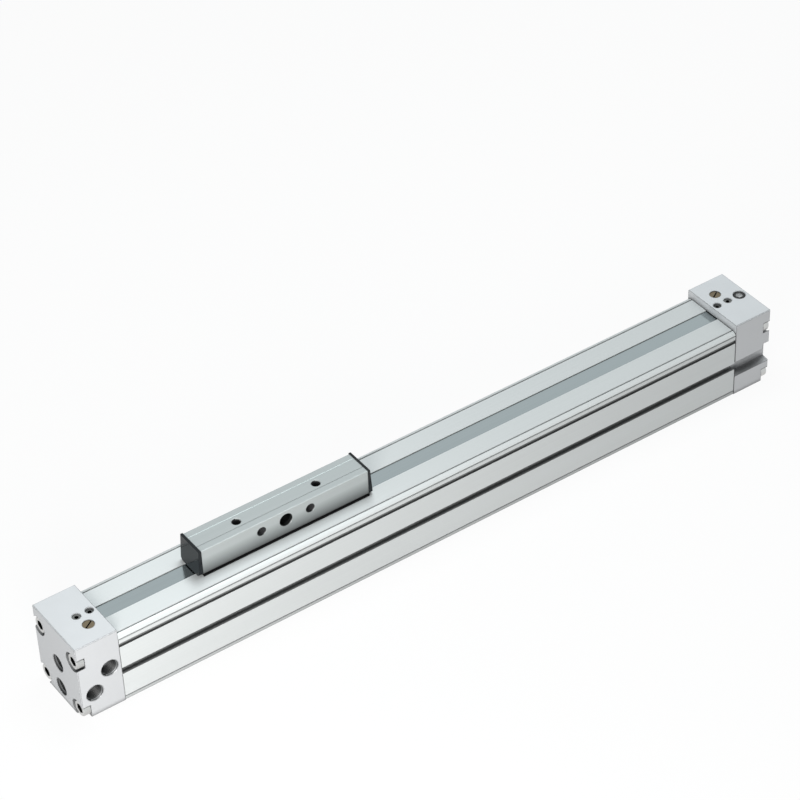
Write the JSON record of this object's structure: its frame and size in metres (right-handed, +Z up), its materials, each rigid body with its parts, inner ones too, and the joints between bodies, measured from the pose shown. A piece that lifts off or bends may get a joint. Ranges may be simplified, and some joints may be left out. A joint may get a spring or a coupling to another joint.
{
  "type": "rodless pneumatic cylinder",
  "caption": "Rodless air cylinder: slotted aluminium barrel, end caps with air ports, steel sealing band, and a slide table driven through the slot by an inner piston.",
  "frame": {"origin": "mid length and mid width, level with the underside of the end caps", "axes": "+X along the barrel from the near cap, which the picture shows in front, to the far cap; +Z up, from the underside to the slide table; +Y to the side of the barrel that the picture doesn't show"},
  "size_m": [0.4492, 0.042, 0.0608],
  "materials": {
    "barrel_aluminium": "satin anodised, drawn along the barrel",
    "cap_aluminium": "satin anodised",
    "table_aluminium": "satin anodised",
    "band_steel": "polished strip steel",
    "bolt_steel": "zinc plated",
    "black_steel": "black oxide",
    "plug_chrome": "bright plated",
    "needle_brass": "turned",
    "plate_black": "glossy black",
    "slide_black": "satin black",
    "belt_plastic": "flexible, natural colour",
    "piston_plastic": "dark acetal",
    "wear_plastic": "filled bearing plastic",
    "seal_rubber": "matt",
    "magnet_dark": "sintered magnet",
    "magnet_tape": "magnetic rubber",
    "inner_aluminium": "machined"
  },
  "bodies": {
    "barrel": {"profile_tube": "barrel_aluminium", "end_cap_near": "cap_aluminium", "end_cap_far": "cap_aluminium", "service_plug": "plug_chrome", "magnet_strip_front": "magnet_tape", "magnet_strip_back": "magnet_tape", "duct_seals": "seal_rubber", "cap_gasket_near": "seal_rubber", "cap_gasket_far": "seal_rubber", "cap_bolts_near": "bolt_steel", "cap_bolts_far": "bolt_steel", "bore_ring_near": "seal_rubber", "bore_ring_far": "seal_rubber", "cushion_boss_near": "inner_aluminium", "cushion_boss_far": "inner_aluminium", "end_bumper_near": "seal_rubber", "end_bumper_far": "seal_rubber", "clamp_screws_near": "black_steel", "clamp_screws_far": "black_steel", "band_clamp_near": "bolt_steel", "band_clamp_far": "bolt_steel", "belt_clamp_near": "bolt_steel", "belt_clamp_far": "bolt_steel", "outer_band_near": "band_steel", "outer_band_far": "band_steel", "inner_belt_near": "belt_plastic", "inner_belt_far": "belt_plastic"},
    "carriage": {"slide_table": "table_aluminium", "skirt_front": "slide_black", "skirt_back": "slide_black", "clamp_pins": "black_steel", "piston_yoke": "inner_aluminium", "stub_pins": "bolt_steel", "outer_band_arch": "band_steel", "inner_belt_arch": "belt_plastic", "end_plate_near": "plate_black", "end_plate_far": "plate_black", "dust_wiper_near": "seal_rubber", "dust_wiper_far": "seal_rubber", "band_guide_near": "slide_black", "band_guide_far": "slide_black", "belt_guide_near": "slide_black", "belt_guide_far": "slide_black", "piston_end_near": "piston_plastic", "piston_end_far": "piston_plastic", "piston_seal_near": "seal_rubber", "piston_seal_far": "seal_rubber", "cushion_seal_near": "seal_rubber", "cushion_seal_far": "seal_rubber", "switch_magnet_near": "magnet_dark", "switch_magnet_far": "magnet_dark", "wear_ring_near": "wear_plastic", "wear_ring_far": "wear_plastic"},
    "needle_near": {"cushion_needle_near": "needle_brass", "needle_ring_near": "seal_rubber"},
    "needle_far": {"cushion_needle_far": "needle_brass", "needle_ring_far": "seal_rubber"}
  },
  "joints": [
    {"name": "carriage_slide", "type": "slide", "parent": "barrel", "child": "carriage", "axis": [1, 0, 0], "range_m": [-0.0344, 0.2156], "deforming": ["outer_band_near", "outer_band_far", "inner_belt_near", "inner_belt_far"]},
    {"name": "needle_near_turn", "type": "hinge", "parent": "barrel", "child": "needle_near", "pos_m": [-0.209, -0.0085, 0.0486], "axis": [0, 0, 1], "range_deg": [-270, 450]},
    {"name": "needle_far_turn", "type": "hinge", "parent": "barrel", "child": "needle_far", "pos_m": [0.209, 0.0085, 0.0486], "axis": [0, 0, 1], "range_deg": [-270, 450]}
  ]
}
